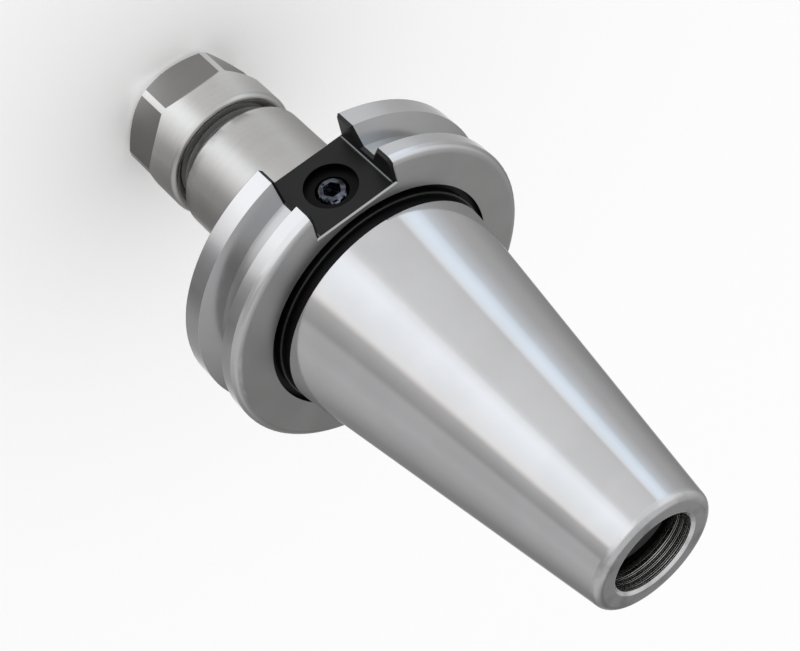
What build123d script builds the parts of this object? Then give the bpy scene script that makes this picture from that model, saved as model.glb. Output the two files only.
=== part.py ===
from build123d import *
import os
from math import radians, tan

# Collet chuck holder, in millimetres. The origin is the centre of the gauge line, where the
# taper measures its gauge diameter. +Z runs along the axis to the small end of the taper, and
# +Y through the drive slot that holds the set screw. The chuck stands on the front face of its
# clamping nut, which is its lowest point.

os.makedirs("parts", exist_ok=True)

# Taper shank, size 40, seven in twenty-four
gauge_diameter = 44.45
taper_rate = 7 / 24
shank_length = 68.25
shank_end_round = 1.5
taper_end_drop = 0.3

# Relief between the ground taper and the flange: a neck below the taper, a low collar, and a
# ring sunk into the face of the flange
relief_neck_diameter = 43.0
relief_collar_diameter = 45.2
relief_collar_drop = 2.5
relief_ring_diameter = 47.5
relief_ring_depth = 1.2
relief_lead = 0.4

# Drive flange
flange_diameter = 63.5
flange_front_drop = 3.175
flange_thickness = 15.5
flange_front_round = 1.5
flange_rear_chamfer = 0.5

# Gripper groove, a V with a flat floor
groove_centre_drop = 10.75
groove_mouth = 7.06
groove_floor = 2.86
groove_angle = 60

# Drive slots, one each side, with the set screw in the shallower one
slot_width = 16.25
slot_floor_height = 25.0
deep_slot_floor_height = 22.6
slot_rim_chamfer = 0.6
slot_end_chamfer = 0.3
slot_corner_round = 0.5
edge_tolerance = 0.01

# Set screw in the floor of the shallower slot
set_screw_diameter = 6.0
set_screw_length = 8.0
set_screw_sink = 1.0
set_screw_chamfer = 0.6
set_screw_key = 3.0
set_screw_key_depth = 3.0
set_screw_spotface = 9.8
set_screw_spotface_depth = 1.3
set_screw_hole_depth = 11.0

# Neck between the flange and the nose thread
neck_diameter = 27.1
neck_end_round = 1.5
neck_root_round = 1.5

# Nose thread, left here as its root cylinder, with a runout behind it. Its diameter is that of
# the collet and the wall around it.
nose_wall = 2.5
nose_thread_depth = 0.92
nose_runout_depth = 1.2
nose_runout_width = 2.2
nose_lead = 0.8

# Clamping nut, whose wall stands on the nose thread
gauge_length = 66.5
nut_length = 17.5
nut_wall = 2.75
nut_flat_depth = 1.55
nut_flat_length = 8.8
nut_shoulder_angle = 45
nut_first_flat = 30
nut_flat_step = 60
nut_front_inset = 2.9
nut_front_angle = 37
nut_rear_round = 1.1
nut_rear_gap = 3.0
nut_countersink_width = 1.4
nut_countersink_depth = 1.6

# Extraction ring of the nut, bored off centre so that the collet clicks in tilted
ring_offset = 0.6
ring_thickness = 1.5
ring_play = 0.2

# Spring collet
collet_diameter = 17.0
collet_length = 27.5
collet_taper_angle = 8
collet_taper_start = 6.26
collet_face_inset = 1.35
collet_face_angle = 30
collet_head_length = 2.7
collet_groove_depth = 1.6
collet_groove_width = 2.2
collet_bore = 8.0
collet_rear_chamfer = 0.4
collet_sink = 0.3
slit_width = 0.7
slit_length = 22.5
slit_count = 8

# Axial bores of the body, from the nose to the small end
tool_clearance_step = 0.3
tool_clearance_end_drop = 20.0
stop_thread_diameter = 10.0
stop_thread_length = 28.0
coolant_bore = 8.5
stud_thread_diameter = 15.875
stud_thread_end = 34.0
stud_pilot_diameter = 16.4
stud_pilot_depth = 5.5
stud_mouth_chamfer = 0.5
drill_point_angle = 118

# Stop screw behind the collet
stop_screw_length = 16.0
stop_screw_centre_drop = 6.0
stop_screw_key = 5.0
stop_screw_key_depth = 6.0
stop_screw_bore = 2.5
stop_screw_chamfer = 0.6

# Clearances, on the radius
thread_clearance = 0.05
seat_clearance = 0.05
head_clearance = 0.10
ring_clearance = 0.05

# Sizes and heights that more than one piece uses, the heights measured from the gauge line
flange_front = -flange_front_drop
flange_rear = flange_front - flange_thickness
nut_front = -gauge_length
nut_rear = nut_front + nut_length
neck_end = nut_rear + nut_rear_gap
collet_front = nut_front + collet_sink
collet_rear = collet_front + collet_length
nose_end = collet_front + collet_taper_start
nose_thread_radius = collet_diameter / 2 + nose_wall
nose_root_radius = nose_thread_radius - nose_thread_depth
nose_runout_radius = nose_thread_radius - nose_runout_depth
nut_radius = nose_thread_radius + nut_wall
collet_face_radius = collet_diameter / 2 - collet_face_inset
taper_end = -taper_end_drop
collet_slope = tan(radians(collet_taper_angle))
face_slope = tan(radians(collet_face_angle))
drill_slope = tan(radians(drill_point_angle / 2))


def taper_radius(height):
    """Radius of the ground taper at a height above the gauge line."""
    return (gauge_diameter - taper_rate * height) / 2


def seat_radius(height):
    """Radius of the collet's long taper at a height, which the body's seat follows."""
    return collet_diameter / 2 - (height - nose_end) * collet_slope


def corner(profile, radius, height):
    """The corner of an axial profile that lies at this radius and height."""
    return profile.vertices().sort_by_distance((radius, height, 0))[0]


def on_slot_wall(edge):
    """Whether an edge lies in a side wall of the drive slots."""
    return abs(abs(edge.center().X) - slot_width / 2) < edge_tolerance


def at_y(edge, height):
    """Whether an edge lies in the plane at this y, such as a slot's floor."""
    return abs(edge.center().Y - height) < edge_tolerance


# Body: taper shank, flange, neck and threaded nose in one turned and ground piece
groove_side = (groove_mouth - groove_floor) / 2
groove_depth = groove_side / tan(radians(groove_angle / 2))
groove_centre = -groove_centre_drop
flange_radius = flange_diameter / 2

with BuildPart() as chuck_body:
    with BuildSketch(Plane.XZ) as outside:
        with BuildLine():
            Polyline(
                (0, shank_length),
                (taper_radius(shank_length), shank_length),
                (taper_radius(taper_end), taper_end),
                (relief_neck_diameter / 2, taper_end - relief_lead),
                (relief_neck_diameter / 2, -relief_collar_drop),
                (relief_collar_diameter / 2, -relief_collar_drop),
                (relief_collar_diameter / 2, flange_front - relief_ring_depth),
                (relief_ring_diameter / 2, flange_front - relief_ring_depth),
                (relief_ring_diameter / 2, flange_front),
                (flange_radius, flange_front),
                (flange_radius, groove_centre + groove_mouth / 2),
                (flange_radius - groove_depth, groove_centre + groove_floor / 2),
                (flange_radius - groove_depth, groove_centre - groove_floor / 2),
                (flange_radius, groove_centre - groove_mouth / 2),
                (flange_radius, flange_rear),
                (neck_diameter / 2, flange_rear),
                (neck_diameter / 2, neck_end),
                (nose_runout_radius, neck_end),
                (nose_runout_radius, neck_end - nose_runout_width),
                (nose_root_radius, neck_end - nose_runout_width),
                (nose_root_radius, nose_end),
                (0, nose_end),
                close=True,
            )
        make_face()
        fillet(corner(outside, taper_radius(shank_length), shank_length), shank_end_round)
        fillet(corner(outside, flange_radius, flange_front), flange_front_round)
        chamfer(corner(outside, flange_radius, flange_rear), flange_rear_chamfer)
        fillet(corner(outside, neck_diameter / 2, flange_rear), neck_root_round)
        fillet(corner(outside, neck_diameter / 2, neck_end), neck_end_round)
        chamfer(corner(outside, nose_root_radius, nose_end), nose_lead)
    revolve(axis=Axis.Z)

    # Drive slots, with the screw's slot at +Y and the deeper one opposite. The rims of the walls
    # and the ends of the floor are chamfered, and the corners between floor and walls rounded.
    for side, floor_height in ((1, slot_floor_height), (-1, deep_slot_floor_height)):
        floor_y = side * floor_height
        with BuildSketch(Plane.XY.offset(flange_rear)):
            with Locations((0, (floor_y + side * flange_radius) / 2)):
                Rectangle(slot_width, flange_radius - floor_height)
        extrude(amount=flange_thickness, mode=Mode.SUBTRACT)
        wall_edges = chuck_body.edges(Select.LAST).filter_by(on_slot_wall)
        chamfer(wall_edges.filter_by(lambda edge: not at_y(edge, floor_y)), slot_rim_chamfer)
        floor_ends = chuck_body.edges().filter_by(lambda edge: at_y(edge, floor_y)).filter_by(Axis.X)
        chamfer(floor_ends.filter_by(lambda edge: edge.length > slot_width / 2), slot_end_chamfer)
        corners = chuck_body.edges().filter_by(lambda edge: at_y(edge, floor_y)).filter_by(on_slot_wall)
        fillet(corners, slot_corner_round)

    # Seat of the collet, tool clearance, stop screw thread, coolant bore and stud thread
    tool_clearance_end = -tool_clearance_end_drop
    stop_thread_radius = stop_thread_diameter / 2 + thread_clearance
    tool_clearance_radius = stop_thread_radius + tool_clearance_step
    seat_end = nose_end + (collet_diameter / 2 + seat_clearance - tool_clearance_radius) / collet_slope
    stop_thread_end = tool_clearance_end + stop_thread_length
    drill_point = (stud_thread_diameter - coolant_bore) / 2 / drill_slope
    stud_pilot_end = shank_length - stud_pilot_depth
    with BuildSketch(Plane.XZ) as inside:
        with BuildLine():
            Polyline(
                (0, nose_end),
                (seat_radius(nose_end) + seat_clearance, nose_end),
                (tool_clearance_radius, seat_end),
                (tool_clearance_radius, tool_clearance_end),
                (stop_thread_radius, tool_clearance_end),
                (stop_thread_radius, stop_thread_end),
                (coolant_bore / 2, stop_thread_end),
                (coolant_bore / 2, stud_thread_end - drill_point),
                (stud_thread_diameter / 2, stud_thread_end),
                (stud_thread_diameter / 2, stud_pilot_end),
                (stud_pilot_diameter / 2, stud_pilot_end),
                (stud_pilot_diameter / 2, shank_length - stud_mouth_chamfer),
                (stud_pilot_diameter / 2 + stud_mouth_chamfer, shank_length),
                (0, shank_length),
                close=True,
            )
        make_face()
    revolve(axis=Axis.Z, mode=Mode.SUBTRACT)

    # Spot face and tapped hole for the set screw, down from the slot's floor
    set_screw_hole_radius = set_screw_diameter / 2 + thread_clearance
    slot_floor_plane = Plane(
        origin=(0, slot_floor_height, groove_centre), x_dir=(1, 0, 0), z_dir=(0, 1, 0)
    )
    with Locations(slot_floor_plane):
        CounterBoreHole(
            radius=set_screw_hole_radius,
            counter_bore_radius=set_screw_spotface / 2,
            counter_bore_depth=set_screw_spotface_depth,
            depth=set_screw_hole_depth,
        )

chuck_body.part.label = "chuck_body"
export_step(chuck_body.part, "parts/chuck_body.step")


# Clamping nut: round collar, hexagon, nose bore with the collet's face cone, and its thread
head_end = collet_front + collet_head_length
ring_front = head_end + ring_play
ring_rear = ring_front + ring_thickness
nut_thread_end = nut_rear - nut_countersink_depth
nut_bore_radius = nose_thread_radius + thread_clearance
nut_flat_radius = nut_radius - nut_flat_depth
nut_flat_end = nut_front + nut_flat_length
head_radius = collet_diameter / 2 + head_clearance
face_radius = collet_face_radius + head_clearance
mouth_radius = face_radius - collet_sink * face_slope
cone_end = collet_front + (head_radius - face_radius) / face_slope
nut_front_rise = nut_front_inset * tan(radians(nut_front_angle))
nut_shoulder_rise = nut_wall / tan(radians(nut_shoulder_angle))

with BuildPart() as clamping_nut:
    with BuildSketch(Plane.XZ) as nut_outside:
        with BuildLine():
            Polyline(
                (0, nut_front),
                (nut_radius - nut_front_inset, nut_front),
                (nut_radius, nut_front + nut_front_rise),
                (nut_radius, nut_rear),
                (0, nut_rear),
                close=True,
            )
        make_face()
        fillet(corner(nut_outside, nut_radius, nut_rear), nut_rear_round)
    revolve(axis=Axis.Z)

    # Each flat of the hexagon ends in a sloping shoulder, so it is cut by its side profile, right
    # across the nut. One flat faces +Y.
    for turn in range(nut_first_flat, 360, nut_flat_step):
        with BuildSketch(Plane.XZ.rotated((0, 0, turn))):
            with BuildLine():
                Polyline(
                    (nut_flat_radius, nut_front),
                    (nut_flat_radius, nut_flat_end),
                    (nut_flat_radius + nut_wall, nut_flat_end + nut_shoulder_rise),
                    (nut_flat_radius + nut_wall, nut_front),
                    close=True,
                )
            make_face()
        extrude(amount=nut_radius, both=True, mode=Mode.SUBTRACT)

    with BuildSketch(Plane.XZ) as nut_mouth:
        with BuildLine():
            Polyline(
                (0, nut_front),
                (mouth_radius, nut_front),
                (head_radius, cone_end),
                (head_radius, ring_front),
                (0, ring_front),
                close=True,
            )
        make_face()
    revolve(axis=Axis.Z, mode=Mode.SUBTRACT)

    with BuildSketch(Plane.XY.offset(ring_front)):
        with Locations((ring_offset, 0)):
            Circle(collet_diameter / 2 + ring_clearance)
    extrude(amount=ring_thickness, mode=Mode.SUBTRACT)

    with BuildSketch(Plane.XZ):
        with BuildLine():
            Polyline(
                (0, ring_rear),
                (nut_bore_radius, ring_rear),
                (nut_bore_radius, nut_thread_end),
                (nut_bore_radius + nut_countersink_width, nut_rear),
                (0, nut_rear),
                close=True,
            )
        make_face()
    revolve(axis=Axis.Z, mode=Mode.SUBTRACT)

clamping_nut.part.label = "clamping_nut"
export_step(clamping_nut.part, "parts/clamping_nut.step")


# Spring collet: face cone, extraction groove, long taper, and slits from both ends in turn
groove_end = head_end + collet_groove_width
collet_cone_end = collet_front + collet_face_inset / face_slope
collet_groove_radius = collet_diameter / 2 - collet_groove_depth

with BuildPart() as collet:
    with BuildSketch(Plane.XZ) as collet_profile:
        with BuildLine():
            Polyline(
                (collet_bore / 2, collet_front),
                (collet_face_radius, collet_front),
                (collet_diameter / 2, collet_cone_end),
                (collet_diameter / 2, head_end),
                (collet_groove_radius, head_end),
                (collet_groove_radius, groove_end),
                (seat_radius(nose_end), nose_end),
                (seat_radius(collet_rear), collet_rear),
                (collet_bore / 2, collet_rear),
                close=True,
            )
        make_face()
        chamfer(corner(collet_profile, seat_radius(collet_rear), collet_rear), collet_rear_chamfer)
    revolve(axis=Axis.Z)

    for start, direction, turn in ((collet_front, 1, 0), (collet_rear, -1, 180 / slit_count)):
        with BuildSketch(Plane.XY.offset(start)):
            with PolarLocations(collet_diameter / 4, slit_count, start_angle=turn):
                Rectangle(collet_diameter / 2, slit_width)
        extrude(amount=direction * slit_length, mode=Mode.SUBTRACT)

collet.part.label = "collet"
export_step(collet.part, "parts/collet.step")


# Stop screw behind the collet, keyed from the small end and drilled through for coolant
stop_screw_front = -stop_screw_centre_drop - stop_screw_length / 2
stop_screw_rear = stop_screw_front + stop_screw_length

with BuildPart() as stop_screw:
    with BuildSketch(Plane.XY.offset(stop_screw_front)):
        Circle(stop_thread_diameter / 2)
    extrude(amount=stop_screw_length)
    chamfer(stop_screw.edges().filter_by(GeomType.CIRCLE), stop_screw_chamfer)
    with BuildSketch(Plane.XY.offset(stop_screw_rear)):
        RegularPolygon(stop_screw_key / 2, side_count=6, major_radius=False)
    extrude(amount=-stop_screw_key_depth, mode=Mode.SUBTRACT)
    with BuildSketch(Plane.XY.offset(stop_screw_front)):
        Circle(stop_screw_bore / 2)
    extrude(amount=stop_screw_length, mode=Mode.SUBTRACT)

stop_screw.part.label = "stop_screw"
export_step(stop_screw.part, "parts/stop_screw.step")


# Set screw in the floor of the slot, with its key socket facing out
set_screw_top = slot_floor_plane.offset(-set_screw_sink)

with BuildPart() as set_screw:
    with BuildSketch(set_screw_top):
        Circle(set_screw_diameter / 2)
    extrude(amount=-set_screw_length)
    chamfer(set_screw.edges().filter_by(GeomType.CIRCLE), set_screw_chamfer)
    with BuildSketch(set_screw_top):
        RegularPolygon(set_screw_key / 2, side_count=6, major_radius=False)
    extrude(amount=-set_screw_key_depth, mode=Mode.SUBTRACT)

set_screw.part.label = "set_screw"
export_step(set_screw.part, "parts/set_screw.step")
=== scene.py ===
from functools import reduce
from math import cos, pi, radians, sin, tan

import bpy
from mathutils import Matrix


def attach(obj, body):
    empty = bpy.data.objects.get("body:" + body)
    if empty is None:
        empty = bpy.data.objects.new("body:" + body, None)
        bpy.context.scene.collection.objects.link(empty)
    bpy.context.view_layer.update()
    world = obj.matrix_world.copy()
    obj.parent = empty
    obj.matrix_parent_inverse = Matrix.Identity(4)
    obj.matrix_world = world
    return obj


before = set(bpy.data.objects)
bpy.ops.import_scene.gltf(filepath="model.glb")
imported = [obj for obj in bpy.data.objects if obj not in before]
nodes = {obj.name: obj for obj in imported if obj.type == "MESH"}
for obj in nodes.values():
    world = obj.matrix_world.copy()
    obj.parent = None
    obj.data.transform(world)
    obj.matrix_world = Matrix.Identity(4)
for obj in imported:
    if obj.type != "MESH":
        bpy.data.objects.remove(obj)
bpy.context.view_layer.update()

# The looks of a collet chuck with a steep taper shank: its threads, its ground, turned and
# blackened steel, a pale floor, soft light and the camera. Lengths are in metres, in the frame of
# the solids: the origin at the gauge line, +Z to the taper's small end, +Y out of the screw's slot.

MM = 0.001
MICRON = 1e-6

# Heights and radii of the solids that the finishes and threads follow, from the small end down
MOUTH_HEIGHT = 67.9 * MM
TAPER_TOP = 66.75 * MM
PILOT_END = 62.75 * MM
BORE_RADIUS = 8.8 * MM
STOP_THREAD_RADIUS = 5.0 * MM
RELIEF_TOP = -0.3 * MM
RELIEF_COLLAR = -2.5 * MM
RELIEF_FLOOR = -4.375 * MM
RELIEF_COLLAR_RADIUS = 22.6 * MM
RELIEF_RADIUS = 23.75 * MM
FLANGE_FRONT = -3.175 * MM
FLANGE_REAR = -18.675 * MM
FLANGE_RADIUS = 31.75 * MM
GROOVE_HIGH = -7.22 * MM
GROOVE_LOW = -14.28 * MM
SLOT_HALF_WIDTH = 8.125 * MM
SLOT_FLOOR = 25.0 * MM
DEEP_SLOT_FLOOR = 22.6 * MM
SCREW_HEIGHT = -10.75 * MM
SPOT_FACE_RADIUS = 4.9 * MM
NECK_END = -46.0 * MM
NOSE_END = -59.94 * MM
NUT_REAR = -49.0 * MM
NUT_SHOULDER = -57.7 * MM
NUT_FRONT = -66.5 * MM
NUT_FLAT_RADIUS = 12.2 * MM
NUT_RADIUS = 13.75 * MM

# Directions square to the nut's flats, in degrees from +X
NUT_FLAT_TURNS = (30, 90, 150)

# Distances from the axis that lie between two surfaces, to give each its own finish
THREADS_WITHIN = 11.2 * MM
NUT_MOUTH_WITHIN = 12.5 * MM
NECK_WITHIN = 16 * MM
FACES_BEYOND = 14 * MM
RELIEF_BEYOND = 20 * MM
RIM_BEYOND = 26 * MM
SCREW_HOLE_BEYOND = 13 * MM

# Past every point of the part, for a band that has only one limit
FAR = 1.0
# How far a mesh's facets may lie off a round surface
FACET = 0.02 * MM

# Threads: pitch, ends, and the radii of their crests and of the walls that they stand on
NOSE_PITCH = 1.5 * MM
NOSE_ROOT = 10.08 * MM
NOSE_CREST = 10.97 * MM
NOSE_RUN_OUT = -48.2 * MM
NUT_WALL = 11.05 * MM
NUT_CREST = 10.2 * MM
NUT_THREAD_LOW = -61.75 * MM
NUT_THREAD_HIGH = -50.65 * MM
STUD_PITCH = 25.4 / 11 * MM
STUD_WALL = 7.9375 * MM
STUD_CREST = 6.85 * MM
STUD_THREAD_LOW = 35 * MM
STUD_THREAD_HIGH = 62.7 * MM
STOP_PITCH = 1.5 * MM
# The lean of a thread's flanks, and how deep a ridge's foot is sunk in its wall
THREAD_SLOPE = tan(radians(30))
SUNK = 0.05 * MM

# How many sides a turn of a thread and a cutting tool have, and how close points are merged
THREAD_STEPS = 72
ROUND_STEPS = 144
MERGE_DISTANCE = 1e-7

# The floor, the light tent, and the gap that keeps the tent off the floor
FLOOR_SIZE = 30
TENT_RADIUS = 0.6
TENT_GAP = 0.2 * MM


# Small tools for node trees

def add(tree, kind, **settings):
    """A new shader node of this kind."""
    made = tree.nodes.new("ShaderNode" + kind)
    for name, value in settings.items():
        setattr(made, name, value)
    return made


def feed(tree, socket, value):
    """Links an input to another node's output, or sets it to a plain number or colour."""
    if isinstance(value, bpy.types.NodeSocket):
        tree.links.new(value, socket)
    elif socket.type == "RGBA":
        socket.default_value = (*value, 1.0)
    else:
        socket.default_value = value


def maths(tree, operation, *values):
    """The result of a sum on numbers or sockets."""
    made = add(tree, "Math", operation=operation)
    for socket, value in zip(made.inputs, values):
        feed(tree, socket, value)
    return made.outputs[0]


def all_of(tree, *masks):
    """The product of several masks."""
    return reduce(lambda product, mask: maths(tree, "MULTIPLY", product, mask), masks)


def greatest(tree, *values):
    """The greatest of several values: of masks, where any of them is."""
    return reduce(lambda most, value: maths(tree, "MAXIMUM", most, value), values)


def map_range(tree, value, low, high, bottom=0.0, top=1.0, interpolation="LINEAR"):
    """Goes from bottom to top as the value goes from low to high."""
    made = add(tree, "MapRange", interpolation_type=interpolation)
    given = {"Value": value, "From Min": low, "From Max": high, "To Min": bottom, "To Max": top}
    for name, number in given.items():
        feed(tree, made.inputs[name], number)
    return made.outputs["Result"]


def step_up(tree, value, low, high, bottom=0.0, top=1.0):
    """Goes smoothly from bottom to top as the value goes from low to high."""
    return map_range(tree, value, low, high, bottom, top, "SMOOTHSTEP")


# The Mix node's first input and its output, for numbers and for colours
MIX_INPUT = {"FLOAT": 2, "RGBA": 6}
MIX_OUTPUT = {"FLOAT": 0, "RGBA": 2}


def blend(tree, mask, under, over):
    """Mixes two numbers or two colours by a mask."""
    colour = isinstance(under, tuple) or getattr(under, "type", None) == "RGBA"
    kind = "RGBA" if colour else "FLOAT"
    made = add(tree, "Mix", data_type=kind)
    feed(tree, made.inputs[0], mask)
    feed(tree, made.inputs[MIX_INPUT[kind]], under)
    feed(tree, made.inputs[MIX_INPUT[kind] + 1], over)
    return made.outputs[MIX_OUTPUT[kind]]


def place_vector(tree):
    """Where a point is on its piece."""
    return add(tree, "TexCoord").outputs["Object"]


def split_vector(tree, vector):
    """The three coordinates of a vector."""
    split = add(tree, "SeparateXYZ")
    feed(tree, split.inputs[0], vector)
    return split.outputs


def scale_vector(tree, vector, factor):
    """A vector or a colour times a factor."""
    scaled = add(tree, "VectorMath", operation="SCALE")
    feed(tree, scaled.inputs[0], vector)
    feed(tree, scaled.inputs["Scale"], factor)
    return scaled.outputs[0]


def distance_from_axis(tree, first, second):
    """The distance from an axis, from the two coordinates across it."""
    return maths(tree, "SQRT", maths(tree, "ADD", maths(tree, "MULTIPLY", first, first),
                                     maths(tree, "MULTIPLY", second, second)))


def noise(tree, place, scale, detail=2.0, dimensions="3D"):
    """Even noise at a place, or along one line."""
    made = add(tree, "TexNoise", noise_dimensions=dimensions)
    feed(tree, made.inputs["W" if dimensions == "1D" else "Vector"], place)
    made.inputs["Scale"].default_value = scale
    made.inputs["Detail"].default_value = detail
    return made.outputs["Fac"]


def patches(tree, place, scale, detail, low, high):
    """Patches with soft edges, where the noise passes from low to high."""
    return step_up(tree, noise(tree, place, scale, detail), low, high)


def new_material(name):
    """A material, its node tree and its shader."""
    material = bpy.data.materials.new(name)
    material.use_nodes = True
    tree = material.node_tree
    return material, tree, tree.nodes["Principled BSDF"]


def paint(piece, material):
    """Gives a piece this material alone."""
    piece.data.materials.clear()
    piece.data.materials.append(material)


# Effects that several finishes use, as node groups

def new_group(name, inputs, outputs):
    """A node group with these number sockets, its input node and its output node."""
    group = bpy.data.node_groups.new(name, "ShaderNodeTree")
    for label, value in inputs.items():
        socket = group.interface.new_socket(label, in_out="INPUT", socket_type="NodeSocketFloat")
        socket.default_value = value
    for label in outputs:
        group.interface.new_socket(label, in_out="OUTPUT", socket_type="NodeSocketFloat")
    return group, group.nodes.new("NodeGroupInput"), group.nodes.new("NodeGroupOutput")


def make_place_group():
    """Where a point is on the piece: across the slots, out along them, up the axis, and its radius."""
    group, _, result = new_group("place_on_piece", {}, ("Across", "Out", "Up", "Radius"))
    across, out, up = split_vector(group, place_vector(group))
    radius = distance_from_axis(group, across, out)
    for label, value in (("Across", across), ("Out", out), ("Up", up), ("Radius", radius)):
        feed(group, result.inputs[label], value)
    return group


def make_band_group():
    """One between two limits, fading to nothing outside them over the blur."""
    limits = {"Value": 0.0, "Low": 0.0, "High": 1.0, "Blur": 0.0001}
    group, given, result = new_group("band", limits, ("Mask",))
    value, low, high, blur = given.outputs[:4]
    rise = step_up(group, value, maths(group, "SUBTRACT", low, blur), low)
    fall = step_up(group, value, high, maths(group, "ADD", high, blur), bottom=1.0, top=0.0)
    feed(group, result.inputs["Mask"], all_of(group, rise, fall))
    return group


def make_turned_marks_group():
    """Rings left by the lathe or the grinding wheel: the bump's height, and bright and dull rings."""
    group, given, result = new_group("turned_marks", {"Along": 0.0, "Depth": MICRON}, ("Height", "Shade"))
    along, depth = given.outputs[:2]
    fine = noise(group, along, scale=9000, detail=3.0, dimensions="1D")
    broad = noise(group, along, scale=900, detail=4.0, dimensions="1D")
    feed(group, result.inputs["Height"], maths(group, "MULTIPLY", maths(group, "ADD", fine, broad), depth))
    feed(group, result.inputs["Shade"], step_up(group, broad, 0.3, 0.7))
    return group


def make_handling_group():
    """Faint clouds and small flecks that handling leaves on bright steel."""
    group, given, result = new_group("handling", {"Size": 1.0}, ("Clouds", "Flecks"))
    place = scale_vector(group, place_vector(group), maths(group, "DIVIDE", 1.0, given.outputs["Size"]))
    clouds = patches(group, place, scale=110, detail=3.0, low=0.3, high=0.7)
    flecks = patches(group, place, scale=1500, detail=2.0, low=0.66, high=0.74)
    feed(group, result.inputs["Clouds"], clouds)
    feed(group, result.inputs["Flecks"], flecks)
    return group


def make_grain_group():
    """The even fine grain of a blackened or blasted surface."""
    group, given, result = new_group("grain", {"Depth": MICRON}, ("Height", "Shade"))
    fine = noise(group, place_vector(group), scale=4500)
    feed(group, result.inputs["Height"], maths(group, "MULTIPLY", fine, given.outputs["Depth"]))
    feed(group, result.inputs["Shade"], fine)
    return group


EFFECTS = {
    "place": make_place_group(),
    "band": make_band_group(),
    "turned": make_turned_marks_group(),
    "handling": make_handling_group(),
    "grain": make_grain_group(),
}


def use(tree, effect, **values):
    """Places one of the effects in a material, with its own values."""
    made = tree.nodes.new("ShaderNodeGroup")
    made.node_tree = EFFECTS[effect]
    for name, value in values.items():
        feed(tree, made.inputs[name.title()], value)
    return made.outputs


def band(tree, value, low, high, blur=FACET):
    """The mask of what lies between two limits."""
    return use(tree, "band", value=value, low=low, high=high, blur=blur)["Mask"]


def below(tree, value, high, blur=FACET):
    """The mask of what lies below a limit."""
    return band(tree, value, -FAR, high, blur)


def above(tree, value, low, blur=FACET):
    """The mask of what lies above a limit."""
    return band(tree, value, low, FAR, blur)


def rings(tree, place, depth):
    """Turned rings round the axis, which go on from the walls over the faces."""
    _, _, up, radius = place
    return use(tree, "turned", along=maths(tree, "ADD", up, radius), depth=depth)


def feed_marks(tree, along, pitch, depth):
    """The height of tool marks that follow each other at this pitch, some deeper than others."""
    wave = maths(tree, "SINE", maths(tree, "DIVIDE", along, pitch / (2 * pi)))
    some = noise(tree, along, scale=1300, detail=1.0, dimensions="1D")
    return maths(tree, "MULTIPLY", wave, step_up(tree, some, 0.35, 0.65, bottom=0.1 * depth, top=depth))


def screw_thread(tree, place, pitch, depth):
    """The height of a fine thread about the axis."""
    across, out, up, _ = place
    turn = maths(tree, "DIVIDE", maths(tree, "ARCTAN2", out, across), 2 * pi)
    phase = maths(tree, "SUBTRACT", maths(tree, "DIVIDE", up, pitch), turn)
    return maths(tree, "MULTIPLY", maths(tree, "PINGPONG", phase, 0.5), depth)


# The finishes

class Finish:
    """A metal finish that is laid on in layers, each under its own mask."""

    def __init__(self, name, colour, roughness, marks=0.1 * MICRON):
        self.material, self.tree, self.shader = new_material(name)
        self.shader.inputs["Metallic"].default_value = 1.0
        self.colour, self.roughness, self.marks = colour, roughness, marks

    def layer(self, mask, **values):
        """Lays other values over the finish, where the mask is one."""
        for name, value in values.items():
            setattr(self, name, blend(self.tree, mask, getattr(self, name), value))

    def shade(self, mask, low, high):
        """Darkens or lightens the colour from low to high as the mask goes from 0 to 1."""
        self.colour = scale_vector(self.tree, self.colour, step_up(self.tree, mask, 0.0, 1.0, low, high))

    def roughen(self, mask, low, high):
        """Adds to the roughness, from low to high as the mask goes from 0 to 1."""
        added = step_up(self.tree, mask, 0.0, 1.0, low, high)
        self.roughness = maths(self.tree, "ADD", self.roughness, added)

    def handle(self, size, shades, roughness):
        """Clouds the steel, between two shades and two additions to the roughness. Gives the flecks' mask."""
        clouds, flecks = use(self.tree, "handling", size=size)
        self.shade(clouds, *shades)
        self.roughen(clouds, *roughness)
        return flecks

    def finish(self, height):
        """Joins the layers to the shader, with a bump of this height."""
        bump = add(self.tree, "Bump")
        bump.inputs["Distance"].default_value = 1.0
        feed(self.tree, bump.inputs["Height"], height)
        feed(self.tree, self.shader.inputs["Base Color"], self.colour)
        feed(self.tree, self.shader.inputs["Roughness"], self.roughness)
        feed(self.tree, self.shader.inputs["Normal"], bump.outputs[0])
        return self.material


# The steel's colours: ground, turned, blackened, and black, a painted shade for the deepest places
BRIGHT = (0.62, 0.62, 0.63)
TURNED = (0.55, 0.543, 0.534)
BLACKENED = (0.034, 0.034, 0.035)
BLACK = (0.011, 0.011, 0.0118)


def turn_neck(steel, place):
    """The neck, with a dull end behind the nut that is darker in patches near its edge, and the nose. Gives
    the neck's mask.
    """
    tree = steel.tree
    _, _, up, radius = place
    neck = all_of(tree, below(tree, up, FLANGE_REAR + 0.2 * MM), below(tree, radius, NECK_WITHIN))
    steel.layer(neck, colour=TURNED, roughness=0.24, marks=0.12 * MICRON)
    unevenness = maths(tree, "MULTIPLY", noise(tree, place_vector(tree), scale=350, detail=3.0), 1.6 * MM)
    film = maths(tree, "ADD", up, unevenness)
    dull_end = all_of(tree, neck, step_up(tree, film, NECK_END + 2.6 * MM, NECK_END + 1.2 * MM))
    steel.layer(dull_end, colour=(0.62, 0.615, 0.61), roughness=0.6)
    # Darker patches in a band along the neck's end.
    dark_end_patches = all_of(tree, neck, band(tree, up, NECK_END + 0.2 * MM, NECK_END + 0.9 * MM, 2.2 * MM),
                    patches(tree, place_vector(tree), scale=230, detail=2.0, low=0.36, high=0.66))
    steel.layer(dark_end_patches, colour=(0.31, 0.307, 0.305), roughness=0.32)
    nose = all_of(tree, below(tree, radius, THREADS_WITHIN), below(tree, up, NECK_END))
    steel.layer(nose, colour=(0.40, 0.397, 0.39), roughness=0.6)
    return neck


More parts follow.
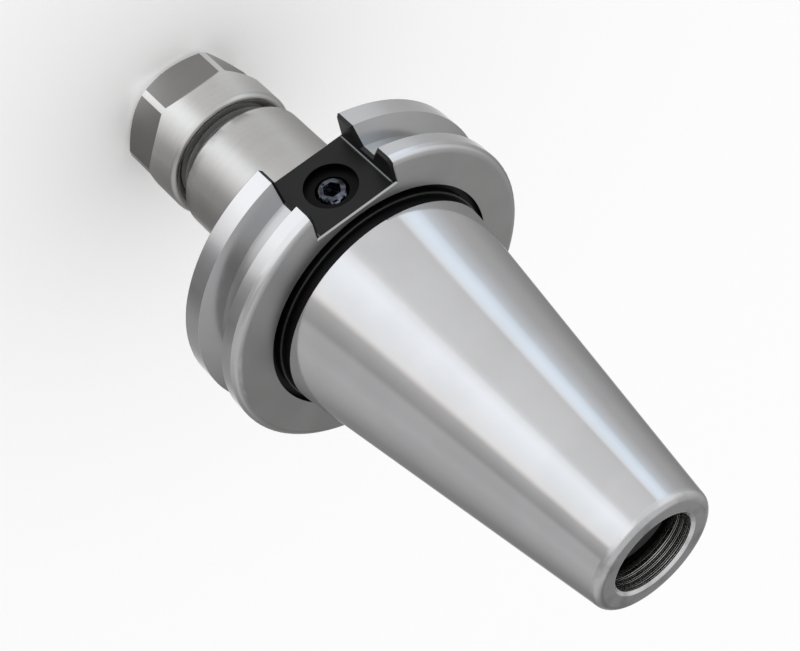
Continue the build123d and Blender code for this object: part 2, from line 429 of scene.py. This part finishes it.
def turn_flange(steel, place):
    """The flange's lands and V-groove, and its duller faces. Gives the faces' mask."""
    tree = steel.tree
    _, _, up, radius = place
    flange = band(tree, up, FLANGE_REAR - 0.1 * MM, FLANGE_FRONT + 0.1 * MM)
    steel.layer(all_of(tree, flange, above(tree, radius, RIM_BEYOND)), roughness=0.15, marks=0.05 * MICRON)
    in_groove = all_of(tree, band(tree, up, GROOVE_LOW, GROOVE_HIGH),
                       band(tree, radius, RIM_BEYOND, FLANGE_RADIUS - 0.06 * MM))
    steel.layer(in_groove, colour=(0.47, 0.47, 0.475), roughness=0.2, marks=0.08 * MICRON)
    front = band(tree, up, FLANGE_FRONT - 0.4 * MM, FLANGE_FRONT + 0.1 * MM)
    rear = band(tree, up, FLANGE_REAR - 0.1 * MM, FLANGE_REAR + 0.4 * MM)
    faces = all_of(tree, band(tree, radius, FACES_BEYOND, FLANGE_RADIUS - 0.9 * MM, 0.4 * MM),
                   greatest(tree, front, rear))
    steel.layer(faces, colour=(0.52, 0.52, 0.515), roughness=0.38, marks=0.15 * MICRON)
    return faces


def face_small_end(steel, place, smudges):
    """The taper's end face, smudged in places. Gives its mask."""
    tree = steel.tree
    _, _, up, _ = place
    end_face = above(tree, up, TAPER_TOP, 0.1 * MM)
    steel.layer(end_face, colour=(0.64, 0.64, 0.645), roughness=0.24, marks=0.2 * MICRON)
    steel.layer(all_of(tree, end_face, smudges), colour=(0.46, 0.46, 0.465), roughness=0.3)
    return end_face


def blacken_relief(steel, place):
    """The black relief under the taper, and a painted highlight along the edge of its collar."""
    tree = steel.tree
    _, _, up, radius = place
    relief = all_of(tree, band(tree, radius, RELIEF_BEYOND, RELIEF_RADIUS + FACET),
                    band(tree, up, RELIEF_FLOOR - 0.1 * MM, RELIEF_TOP - FACET))
    steel.layer(relief, colour=(0.028, 0.028, 0.03), roughness=0.4, marks=0.1 * MICRON)
    # Painted highlight: a thin lighter ring along the collar's edge, as if it caught the light.
    edge_width = band(tree, radius, RELIEF_COLLAR_RADIUS - 0.26 * MM, RELIEF_COLLAR_RADIUS + 0.05 * MM)
    edge_height = band(tree, up, RELIEF_COLLAR - 0.24 * MM, RELIEF_COLLAR + 0.05 * MM, 0.05 * MM)
    steel.layer(all_of(tree, edge_width, edge_height), colour=(0.15, 0.15, 0.155), roughness=0.5)


def blacken_slots(steel, place):
    """Both drive slots with their rims, with a painted highlight along the floors' edges, and the set screw's
    spot face and hole in painted shade.
    """
    tree = steel.tree
    across, out, up, _ = place
    half_width = maths(tree, "ABSOLUTE", across)
    between_rims = below(tree, half_width, SLOT_HALF_WIDTH + 0.62 * MM)
    screw_side = all_of(tree, above(tree, out, SLOT_FLOOR - FACET), between_rims)
    deep_side = all_of(tree, below(tree, out, FACET - DEEP_SLOT_FLOOR), between_rims)
    from_screw = distance_from_axis(tree, across, maths(tree, "SUBTRACT", up, SCREW_HEIGHT))
    screw_hole = all_of(tree, band(tree, out, SCREW_HOLE_BEYOND, SLOT_FLOOR),
                        below(tree, from_screw, SPOT_FACE_RADIUS))
    in_flange = band(tree, up, FLANGE_REAR + 0.12 * MM, FLANGE_FRONT - 0.14 * MM, 0.05 * MM)
    slots = all_of(tree, greatest(tree, screw_side, screw_hole, deep_side),
                   greatest(tree, in_flange, screw_hole))
    steel.layer(slots, colour=BLACKENED, roughness=0.42, marks=0.1 * MICRON)
    # Painted highlight: a thin lighter line along each slot floor's edges by the walls, as if the small round
    # there caught the light.
    floor_edge_highlight = all_of(tree, slots, band(tree, out, SLOT_FLOOR - FACET, SLOT_FLOOR + 0.25 * MM),
                        band(tree, half_width, SLOT_HALF_WIDTH - 0.28 * MM, SLOT_HALF_WIDTH - 0.1 * MM))
    steel.layer(floor_edge_highlight, colour=(0.20, 0.20, 0.205))
    # Painted shade: the spot face and hole below the slot floor are coloured black, darker than the blackened
    # slot.
    steel.layer(all_of(tree, screw_hole, below(tree, out, SLOT_FLOOR - 0.1 * MM)), colour=BLACK)


def bore_through(steel, place, smudges):
    """The bores painted dark as shade, the bright pilot above the pull stud's thread, and the mouth with a
    painted highlight. Gives the pilot's mask.
    """
    tree = steel.tree
    _, _, up, radius = place
    inside = below(tree, radius, BORE_RADIUS)
    bore = all_of(tree, inside, below(tree, up, MOUTH_HEIGHT, 0.1 * MM))
    # Painted shade: the bore below the pilot is coloured near black for the shade deep inside it.
    steel.layer(bore, colour=(0.03, 0.03, 0.029), roughness=0.35, marks=0.3 * MICRON)
    pilot = all_of(tree, bore, above(tree, up, PILOT_END + 1.6 * MM, 1.4 * MM))
    steel.layer(pilot, colour=(0.56, 0.56, 0.545), roughness=0.25)
    # Painted highlight: the bore's mouth is coloured brighter than the ground steel, as if lit, and dimmer
    # where smudged.
    mouth = all_of(tree, inside, above(tree, up, MOUTH_HEIGHT - 0.5 * MM, 0.3 * MM))
    steel.layer(mouth, colour=(0.86, 0.86, 0.87), roughness=0.24)
    steel.layer(all_of(tree, mouth, smudges), colour=(0.56, 0.56, 0.57))
    return pilot


def body_steel():
    """The body: ground taper, turned flange and neck, blackened slots and relief, a bore painted dark as
    shade, and thin painted highlights on some edges.
    """
    steel = Finish("ground_steel", BRIGHT, 0.08, marks=0.01 * MICRON)
    tree = steel.tree
    place = use(tree, "place")
    smudges = patches(tree, place_vector(tree), scale=160, detail=3.0, low=0.42, high=0.66)
    neck = turn_neck(steel, place)
    faces = turn_flange(steel, place)
    end_face = face_small_end(steel, place, smudges)
    blacken_relief(steel, place)
    blacken_slots(steel, place)
    pilot = bore_through(steel, place, smudges)

    marks = rings(tree, place, steel.marks)
    steel.shade(all_of(tree, marks["Shade"], neck), 1.0, 0.985)
    flecks = steel.handle(size=1.0, shades=(0.97, 1.01), roughness=(-0.01, 0.02))
    steel.shade(all_of(tree, flecks, greatest(tree, neck, faces, end_face)), 1.0, 0.94)
    tool_marks = all_of(tree, pilot, feed_marks(tree, place["Up"], pitch=0.34 * MM, depth=22 * MICRON))
    return steel.finish(maths(tree, "ADD", marks["Height"], tool_marks))


def hexagon_radius(tree, across, out):
    """The radius of the hexagon that a point is on, square to its flats."""
    reaches = []
    for turn in NUT_FLAT_TURNS:
        reach = maths(tree, "ADD", maths(tree, "MULTIPLY", across, cos(radians(turn))),
                      maths(tree, "MULTIPLY", out, sin(radians(turn))))
        reaches.append(maths(tree, "ABSOLUTE", reach))
    return greatest(tree, *reaches)


def nut_steel():
    """The nut: turned collar, matt flats with bright edges, dull inside."""
    steel = Finish("nut_steel", TURNED, 0.24, marks=0.12 * MICRON)
    tree = steel.tree
    place = use(tree, "place")
    across, out, up, radius = place
    hexagon = band(tree, hexagon_radius(tree, across, out), NUT_FLAT_RADIUS - FACET, NUT_FLAT_RADIUS + FACET)
    flats = all_of(tree, hexagon, below(tree, radius, NUT_RADIUS - 0.06 * MM, 0.05 * MM),
                   band(tree, up, NUT_FRONT, NUT_SHOULDER - 0.05 * MM, 0.05 * MM))
    steel.layer(flats, colour=(0.235, 0.23, 0.222), roughness=0.5, marks=0.05 * MICRON)
    mouth = all_of(tree, below(tree, radius, NUT_MOUTH_WITHIN), above(tree, up, NUT_REAR - 1.7 * MM))
    inside = greatest(tree, below(tree, radius, THREADS_WITHIN), mouth)
    steel.layer(inside, colour=(0.58, 0.575, 0.565), roughness=0.6, marks=0.3 * MICRON)

    marks = rings(tree, place, steel.marks)
    grain = use(tree, "grain", depth=maths(tree, "MULTIPLY", flats, 1.2 * MICRON))
    steel.shade(marks["Shade"], 0.99, 1.005)
    flecks = steel.handle(size=0.8, shades=(0.96, 1.01), roughness=(-0.02, 0.03))
    steel.shade(flecks, 1.0, 0.94)
    return steel.finish(maths(tree, "ADD", marks["Height"], grain["Height"]))


def plain_turned(name, colour, roughness, depth=0.3 * MICRON):
    """One turned finish all over, with rings, clouds and grain."""
    steel = Finish(name, colour, roughness)
    tree = steel.tree
    marks = rings(tree, use(tree, "place"), depth)
    grain = use(tree, "grain", depth=depth)
    steel.handle(size=0.6, shades=(0.9, 1.05), roughness=(-0.04, 0.05))
    steel.shade(grain["Shade"], 0.95, 1.05)
    return steel.finish(maths(tree, "ADD", marks["Height"], grain["Height"]))


def nose_thread_steel():
    """The nose's thread: bright, with painted shade at the run-out that shows in the gap behind the nut."""
    steel = Finish("nose_thread_steel", (0.50, 0.495, 0.485), 0.26)
    tree = steel.tree
    place = use(tree, "place")
    # Painted shade: the top turns, in the gap behind the nut, are coloured darker, and made rougher.
    shaded_run_out = step_up(tree, place["Up"], NUT_REAR - 3.5 * MM, NUT_REAR - 2.3 * MM)
    steel.layer(shaded_run_out, colour=(0.26, 0.258, 0.254), roughness=0.6)
    steel.handle(size=0.6, shades=(0.9, 1.05), roughness=(-0.04, 0.05))
    return steel.finish(rings(tree, place, 0.3 * MICRON)["Height"])


def stop_screw_steel():
    """The stop screw: blackened, with a fine thread round it."""
    steel = Finish("black_screw", (0.045, 0.045, 0.047), 0.32)
    tree = steel.tree
    place = use(tree, "place")
    grain = use(tree, "grain", depth=0.3 * MICRON)
    steel.handle(size=0.6, shades=(0.85, 1.1), roughness=(-0.04, 0.05))
    wall = step_up(tree, place["Radius"], STOP_THREAD_RADIUS - 0.3 * MM, STOP_THREAD_RADIUS - 0.1 * MM)
    thread = all_of(tree, wall, screw_thread(tree, place, STOP_PITCH, depth=0.9 * MM))
    return steel.finish(maths(tree, "ADD", thread, grain["Height"]))


def set_screw_steel():
    """The set screw: blackened and wet with oil, so that it glints unevenly."""
    steel = Finish("black_set_screw", (0.085, 0.092, 0.115), 0.1)
    tree = steel.tree
    film = noise(tree, place_vector(tree), scale=900, detail=1.5)
    steel.handle(size=0.25, shades=(0.25, 1.6), roughness=(0.1, -0.03))
    return steel.finish(maths(tree, "MULTIPLY", film, 0.55 * MM))


paint(nodes["chuck_body"], body_steel())
paint(nodes["clamping_nut"], nut_steel())
paint(nodes["collet"], plain_turned("collet_steel", (0.60, 0.60, 0.61), 0.2))
paint(nodes["stop_screw"], stop_screw_steel())
paint(nodes["set_screw"], set_screw_steel())


# Threads. Each is a ridge whose section is swept up the helix, closed, and trimmed at its ends.

def deselect_all():
    """Leaves nothing selected for the next operator to act on."""
    bpy.ops.object.select_all(action="DESELECT")


def apply_modifier(piece, kind, **settings):
    """Shapes a piece by one modifier, for good."""
    modifier = piece.modifiers.new(kind.lower(), kind)
    for name, value in settings.items():
        setattr(modifier, name, value)
    bpy.context.view_layer.objects.active = piece
    bpy.ops.object.modifier_apply(modifier=modifier.name)


def thread_ridge(name, wall, crest, pitch, low, turns, crest_width):
    """A helical ridge from a wall's radius to its crest, right-hand, starting at this height."""
    base_width = crest_width + 2 * abs(crest - wall) * THREAD_SLOPE
    deselect_all()
    bpy.ops.mesh.primitive_plane_add(size=1, location=((wall + crest) / 2, 0, low), rotation=(pi / 2, 0, 0))
    ridge = bpy.context.object
    ridge.name = name
    ridge.scale = (abs(crest - wall), base_width, 1)
    bpy.ops.object.transform_apply(location=True, rotation=True, scale=True)
    bpy.ops.object.mode_set(mode="EDIT")
    bpy.ops.mesh.select_all(action="DESELECT")
    bpy.ops.object.mode_set(mode="OBJECT")
    for vertex in ridge.data.vertices:
        vertex.select = abs(vertex.co.x - crest) < abs(vertex.co.x - wall)
    bpy.ops.object.mode_set(mode="EDIT")
    bpy.ops.transform.resize(value=(1, 1, crest_width / base_width), center_override=(crest, 0, low))
    bpy.ops.object.mode_set(mode="OBJECT")
    apply_modifier(ridge, "SCREW", axis="Z", angle=2 * pi, screw_offset=pitch, iterations=turns,
                   steps=THREAD_STEPS, render_steps=THREAD_STEPS,
                   use_merge_vertices=False, use_smooth_shade=False)
    bpy.ops.object.mode_set(mode="EDIT")
    bpy.ops.mesh.select_all(action="SELECT")
    bpy.ops.mesh.remove_doubles(threshold=MERGE_DISTANCE)
    bpy.ops.mesh.fill_holes(sides=4)
    bpy.ops.mesh.select_all(action="SELECT")
    bpy.ops.mesh.normals_make_consistent(inside=False)
    bpy.ops.object.mode_set(mode="OBJECT")
    return ridge


def trim(ridge, operation, tool):
    """Cuts the ridge by a tool, which is then thrown away."""
    apply_modifier(ridge, "BOOLEAN", operation=operation, object=tool, solver="EXACT")
    bpy.data.objects.remove(tool, do_unlink=True)


def turned_bar(radius, low, high, chamfer=0.0):
    """A round bar with plain or chamfered ends, to trim a ridge to its length."""
    deselect_all()
    bpy.ops.mesh.primitive_cylinder_add(vertices=ROUND_STEPS, radius=radius, depth=high - low,
                                        location=(0, 0, (low + high) / 2))
    bar = bpy.context.object
    if chamfer:
        apply_modifier(bar, "BEVEL", width=chamfer, segments=1, limit_method="ANGLE",
                       angle_limit=radians(40))
    return bar


def countersink(small, large, low, high):
    """A cone that widens upwards, to lead a thread in."""
    deselect_all()
    bpy.ops.mesh.primitive_cone_add(vertices=ROUND_STEPS, radius1=small, radius2=large, depth=high - low,
                                    location=(0, 0, (low + high) / 2))
    return bpy.context.object


def finish_piece(piece, body, material):
    """Smooths a piece, puts its object at the origin, and lets it ride on its body."""
    deselect_all()
    piece.select_set(True)
    bpy.context.view_layer.objects.active = piece
    bpy.ops.object.transform_apply(location=True, rotation=True, scale=True)
    bpy.ops.object.shade_smooth_by_angle(angle=radians(25))
    paint(piece, material)
    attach(piece, body)


def cut_nose_thread():
    """The nose's thread, from the nose's end to its run-out."""
    ridge = thread_ridge("nose_thread", wall=NOSE_ROOT - SUNK, crest=NOSE_CREST, pitch=NOSE_PITCH,
                         low=-61.5 * MM, turns=10, crest_width=0.19 * MM)
    trim(ridge, "INTERSECT", turned_bar(NOSE_CREST, NOSE_END, NOSE_RUN_OUT, chamfer=0.7 * MM))
    finish_piece(ridge, "body", nose_thread_steel())


def cut_nut_thread():
    """The nut's thread, half a pitch off the nose's, so that it lies in its grooves."""
    ridge = thread_ridge("nut_thread", wall=NUT_WALL + SUNK, crest=NUT_CREST, pitch=NOSE_PITCH,
                         low=-63 * MM + NOSE_PITCH / 2, turns=10, crest_width=0.22 * MM)
    trim(ridge, "INTERSECT", turned_bar(12 * MM, NUT_THREAD_LOW, NUT_THREAD_HIGH))
    steel = plain_turned("nut_thread_steel", (0.40, 0.395, 0.385), 0.3)
    finish_piece(ridge, "nut", steel)


def cut_stud_thread():
    """The pull stud's thread in the small end, with its lead-in."""
    ridge = thread_ridge("stud_thread", wall=STUD_WALL + SUNK, crest=STUD_CREST, pitch=STUD_PITCH,
                         low=32 * MM, turns=14, crest_width=0.29 * MM)
    trim(ridge, "INTERSECT", turned_bar(9 * MM, STUD_THREAD_LOW, STUD_THREAD_HIGH))
    lead_in = countersink(small=6.7 * MM, large=8.2 * MM, low=61.3 * MM, high=62.8 * MM)
    trim(ridge, "DIFFERENCE", lead_in)
    # Painted shade: the thread deep in the bore is coloured near black for the shade there.
    steel = plain_turned("stud_thread_steel", (0.045, 0.045, 0.044), 0.3)
    finish_piece(ridge, "body", steel)


cut_nose_thread()
cut_nut_thread()
cut_stud_thread()


# The camera, the floor and the light

def set_camera():
    """The camera at the photograph's place: above, in front of the slot with the screw, turned over."""
    camera_data = bpy.data.cameras.new("camera")
    camera_data.lens = 93.98
    camera_data.sensor_width = 36
    camera = bpy.data.objects.new("camera", camera_data)
    camera.location = (-0.096649, 0.297784, 0.196990)
    camera.rotation_euler = [radians(angle) for angle in (-48.1192, -38.1294, -11.2697)]
    bpy.context.collection.objects.link(camera)
    bpy.context.scene.camera = camera


def lay_floor():
    """A wide pale floor under the nut. The chuck stands on the nut, so the floor keeps to the nut's
    height when it is unscrewed. The collet travels with the nut and doesn't turn."""
    deselect_all()
    bpy.ops.mesh.primitive_plane_add(size=FLOOR_SIZE, location=(0, 0, NUT_FRONT))
    floor = bpy.context.object
    floor.name = "floor"
    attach(floor, "collet")
    material, tree, shader = new_material("pale_floor")
    shader.inputs["Roughness"].default_value = 0.9
    shader.inputs["Specular IOR Level"].default_value = 0
    fibres = noise(tree, place_vector(tree), scale=900)
    paper = blend(tree, fibres, (0.975, 0.975, 0.975), (0.99, 0.99, 0.99))
    feed(tree, shader.inputs["Base Color"], paper)
    paint(floor, material)


def light_room():
    """Plain white light from all sides, at the level at which a colour shows as it is."""
    world = bpy.data.worlds.new("room")
    bpy.context.scene.world = world
    world.use_nodes = True
    world.node_tree.nodes["Background"].inputs["Color"].default_value = (1, 1, 1, 1)
    world.cycles.sampling_method = "NONE"


# The panels and dark cloths of the light tent, in rings one above the other. Each entry is a
# direction in degrees round the axis from +X, a light level and a blue tint.

# Nearest the nut, where the nut and the neck look
LOW_RING = (
    (-180, 0.35, -0.01), (-170, 0.30, -0.03), (-160, 0.25, -0.03), (-140, 0.22, -0.02), (-127, 0.24, 0.0),
    (-118, 0.40, 0.0), (-105, 0.70, 0.0), (-70, 0.68, 0.0), (-47, 0.42, 0.0), (-36, 0.36, 0.0),
    (-24, 0.37, 0.0), (-13, 0.42, 0.0), (-2, 0.48, 0.0), (10, 0.56, 0.0), (24, 0.68, 0.0),
    (36, 0.80, 0.01), (60, 0.76, 0.0), (90, 0.84, 0.0), (98, 1.00, 0.01), (107, 1.34, 0.02),
    (118, 1.42, 0.02), (126, 1.26, 0.01), (136, 1.00, 0.0), (147, 0.72, 0.0), (157, 0.49, -0.02),
    (168, 0.41, -0.02),
)
# Further out, where the lands of the flange look
LAND_RING = (
    (-180, 0.22, 0.0), (-170, 0.28, 0.0), (-160, 0.36, 0.0), (-140, 0.38, 0.0), (-130, 0.40, 0.0),
    (-118, 0.58, 0.0), (-105, 0.92, 0.0), (-85, 0.92, 0.0), (-50, 0.85, 0.0), (-35, 0.80, 0.0),
    (-24, 0.60, 0.0), (-12, 0.54, 0.0), (5, 0.54, 0.0), (18, 0.60, 0.0), (28, 0.74, 0.01),
    (42, 0.82, 0.01), (62, 0.78, 0.0), (90, 0.84, 0.0), (97, 1.00, 0.01), (106, 1.44, 0.02),
    (125, 1.42, 0.01), (136, 1.18, 0.0), (147, 0.86, 0.0), (152, 0.54, 0.0), (158, 0.36, 0.0),
    (168, 0.26, 0.0),
)
# At the height that the taper mirrors
MIDDLE_RING = (
    (-180, 0.57, 0.0), (-165, 0.60, 0.0), (-147, 0.52, 0.0), (-118, 0.30, 0.0), (-98, 0.24, 0.0),
    (-88, 0.45, 0.0), (-75, 0.60, 0.0), (-58, 0.50, 0.0), (-50, 0.30, 0.0), (-43, 0.28, 0.0),
    (-24, 0.38, 0.0), (-5, 0.52, 0.0), (8, 0.58, 0.0), (18, 0.70, 0.02), (27, 0.86, 0.06),
    (31, 1.10, 0.09), (38, 1.24, 0.10), (45, 1.18, 0.06), (48, 1.08, 0.02), (50, 0.82, 0.0),
    (60, 0.86, 0.0), (92, 0.91, 0.0), (97, 0.99, 0.01), (101, 1.22, 0.02), (110, 1.36, 0.03),
    (131, 1.22, 0.02), (143, 1.16, -0.01), (146, 0.92, -0.03), (149, 0.64, -0.02), (157, 0.52, 0.0),
    (165, 0.44, 0.0), (171, 0.58, 0.0),
)
# Above, where the flange's front and its round look
HIGH_RING = (
    (-180, 0.62, 0.0), (-135, 0.60, 0.0), (-118, 0.48, 0.0), (-104, 0.30, 0.0), (-90, 0.16, 0.0),
    (-80, 0.20, 0.0), (-77, 0.25, 0.0), (-72, 0.29, 0.0), (-62, 0.36, 0.0), (-40, 0.48, 0.0),
    (-15, 0.62, 0.0), (5, 0.78, 0.0), (28, 1.08, 0.02), (44, 1.12, 0.02), (53, 0.84, 0.0),
    (94, 0.87, 0.0), (101, 1.26, 0.01), (116, 1.36, 0.01), (139, 1.10, 0.0), (150, 0.85, 0.0),
    (161, 0.55, 0.0), (172, 0.50, 0.0),
)
OVERHEAD = (0.68, 0.68, 0.69)

# Each further ring, and between which heights the tent passes into it. A height is the sine of
# the angle above the gauge line.
RINGS_ABOVE = (
    (LAND_RING, -0.73, -0.65),
    (MIDDLE_RING, -0.50, -0.42),
    (HIGH_RING, 0.0, 0.25),
)
OVERHEAD_RISE = (0.65, 0.85)
# The cloth right beside the nut is brighter by this factor
NEAREST_RISE = (-0.96, -0.86)
NEAREST_FACTOR = 1.12


def ring_of_light(tree, turn, sides):
    """Light levels round the axis, blended from one stated direction to the next."""
    ramp = add(tree, "ValToRGB")
    feed(tree, ramp.inputs[0], turn)
    stops = ramp.color_ramp.elements
    while len(stops) < len(sides):
        stops.new(0.5)
    for stop, (degrees, level, tint) in zip(stops, sides):
        stop.position = (degrees + 180) / 360
        stop.color = (level * (1 - tint), level, level * (1 + tint), 1)
    return ramp.outputs["Color"]


def tent_cloth():
    """The tent's cloth, which glows as its rings say."""
    material, tree, shader = new_material("tent_cloth")
    material.cycles.emission_sampling = "NONE"
    toward = add(tree, "VectorMath", operation="NORMALIZE")
    feed(tree, toward.inputs[0], place_vector(tree))
    x, y, rise = split_vector(tree, toward.outputs[0])
    turn = map_range(tree, maths(tree, "ARCTAN2", y, x), -pi, pi)
    level = ring_of_light(tree, turn, LOW_RING)
    for sides, low, high in RINGS_ABOVE:
        level = blend(tree, step_up(tree, rise, low, high), level, ring_of_light(tree, turn, sides))
    level = blend(tree, step_up(tree, rise, *OVERHEAD_RISE), level, OVERHEAD)
    nearest = step_up(tree, rise, *NEAREST_RISE, bottom=NEAREST_FACTOR, top=1.0)
    feed(tree, shader.inputs["Emission Color"], scale_vector(tree, level, nearest))
    shader.inputs["Emission Strength"].default_value = 1
    shader.inputs["Base Color"].default_value = (0, 0, 0, 1)
    shader.inputs["Specular IOR Level"].default_value = 0
    return material


def hang_light_tent():
    """A round tent just above the floor that is seen only in reflections, with panels and dark cloths."""
    deselect_all()
    bpy.ops.mesh.primitive_uv_sphere_add(segments=96, ring_count=48, radius=TENT_RADIUS)
    tent = bpy.context.object
    tent.name = "light_tent"
    bpy.ops.object.mode_set(mode="EDIT")
    bpy.ops.mesh.select_all(action="SELECT")
    bpy.ops.mesh.bisect(plane_co=(0, 0, NUT_FRONT + TENT_GAP), plane_no=(0, 0, 1), use_fill=True,
                        clear_inner=True)
    bpy.ops.object.mode_set(mode="OBJECT")
    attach(tent, "collet")
    tent.visible_camera = False
    tent.visible_diffuse = False
    tent.visible_shadow = False
    tent.visible_transmission = False
    paint(tent, tent_cloth())


set_camera()
lay_floor()
light_room()
hang_light_tent()
bpy.context.scene.view_settings.view_transform = "Standard"
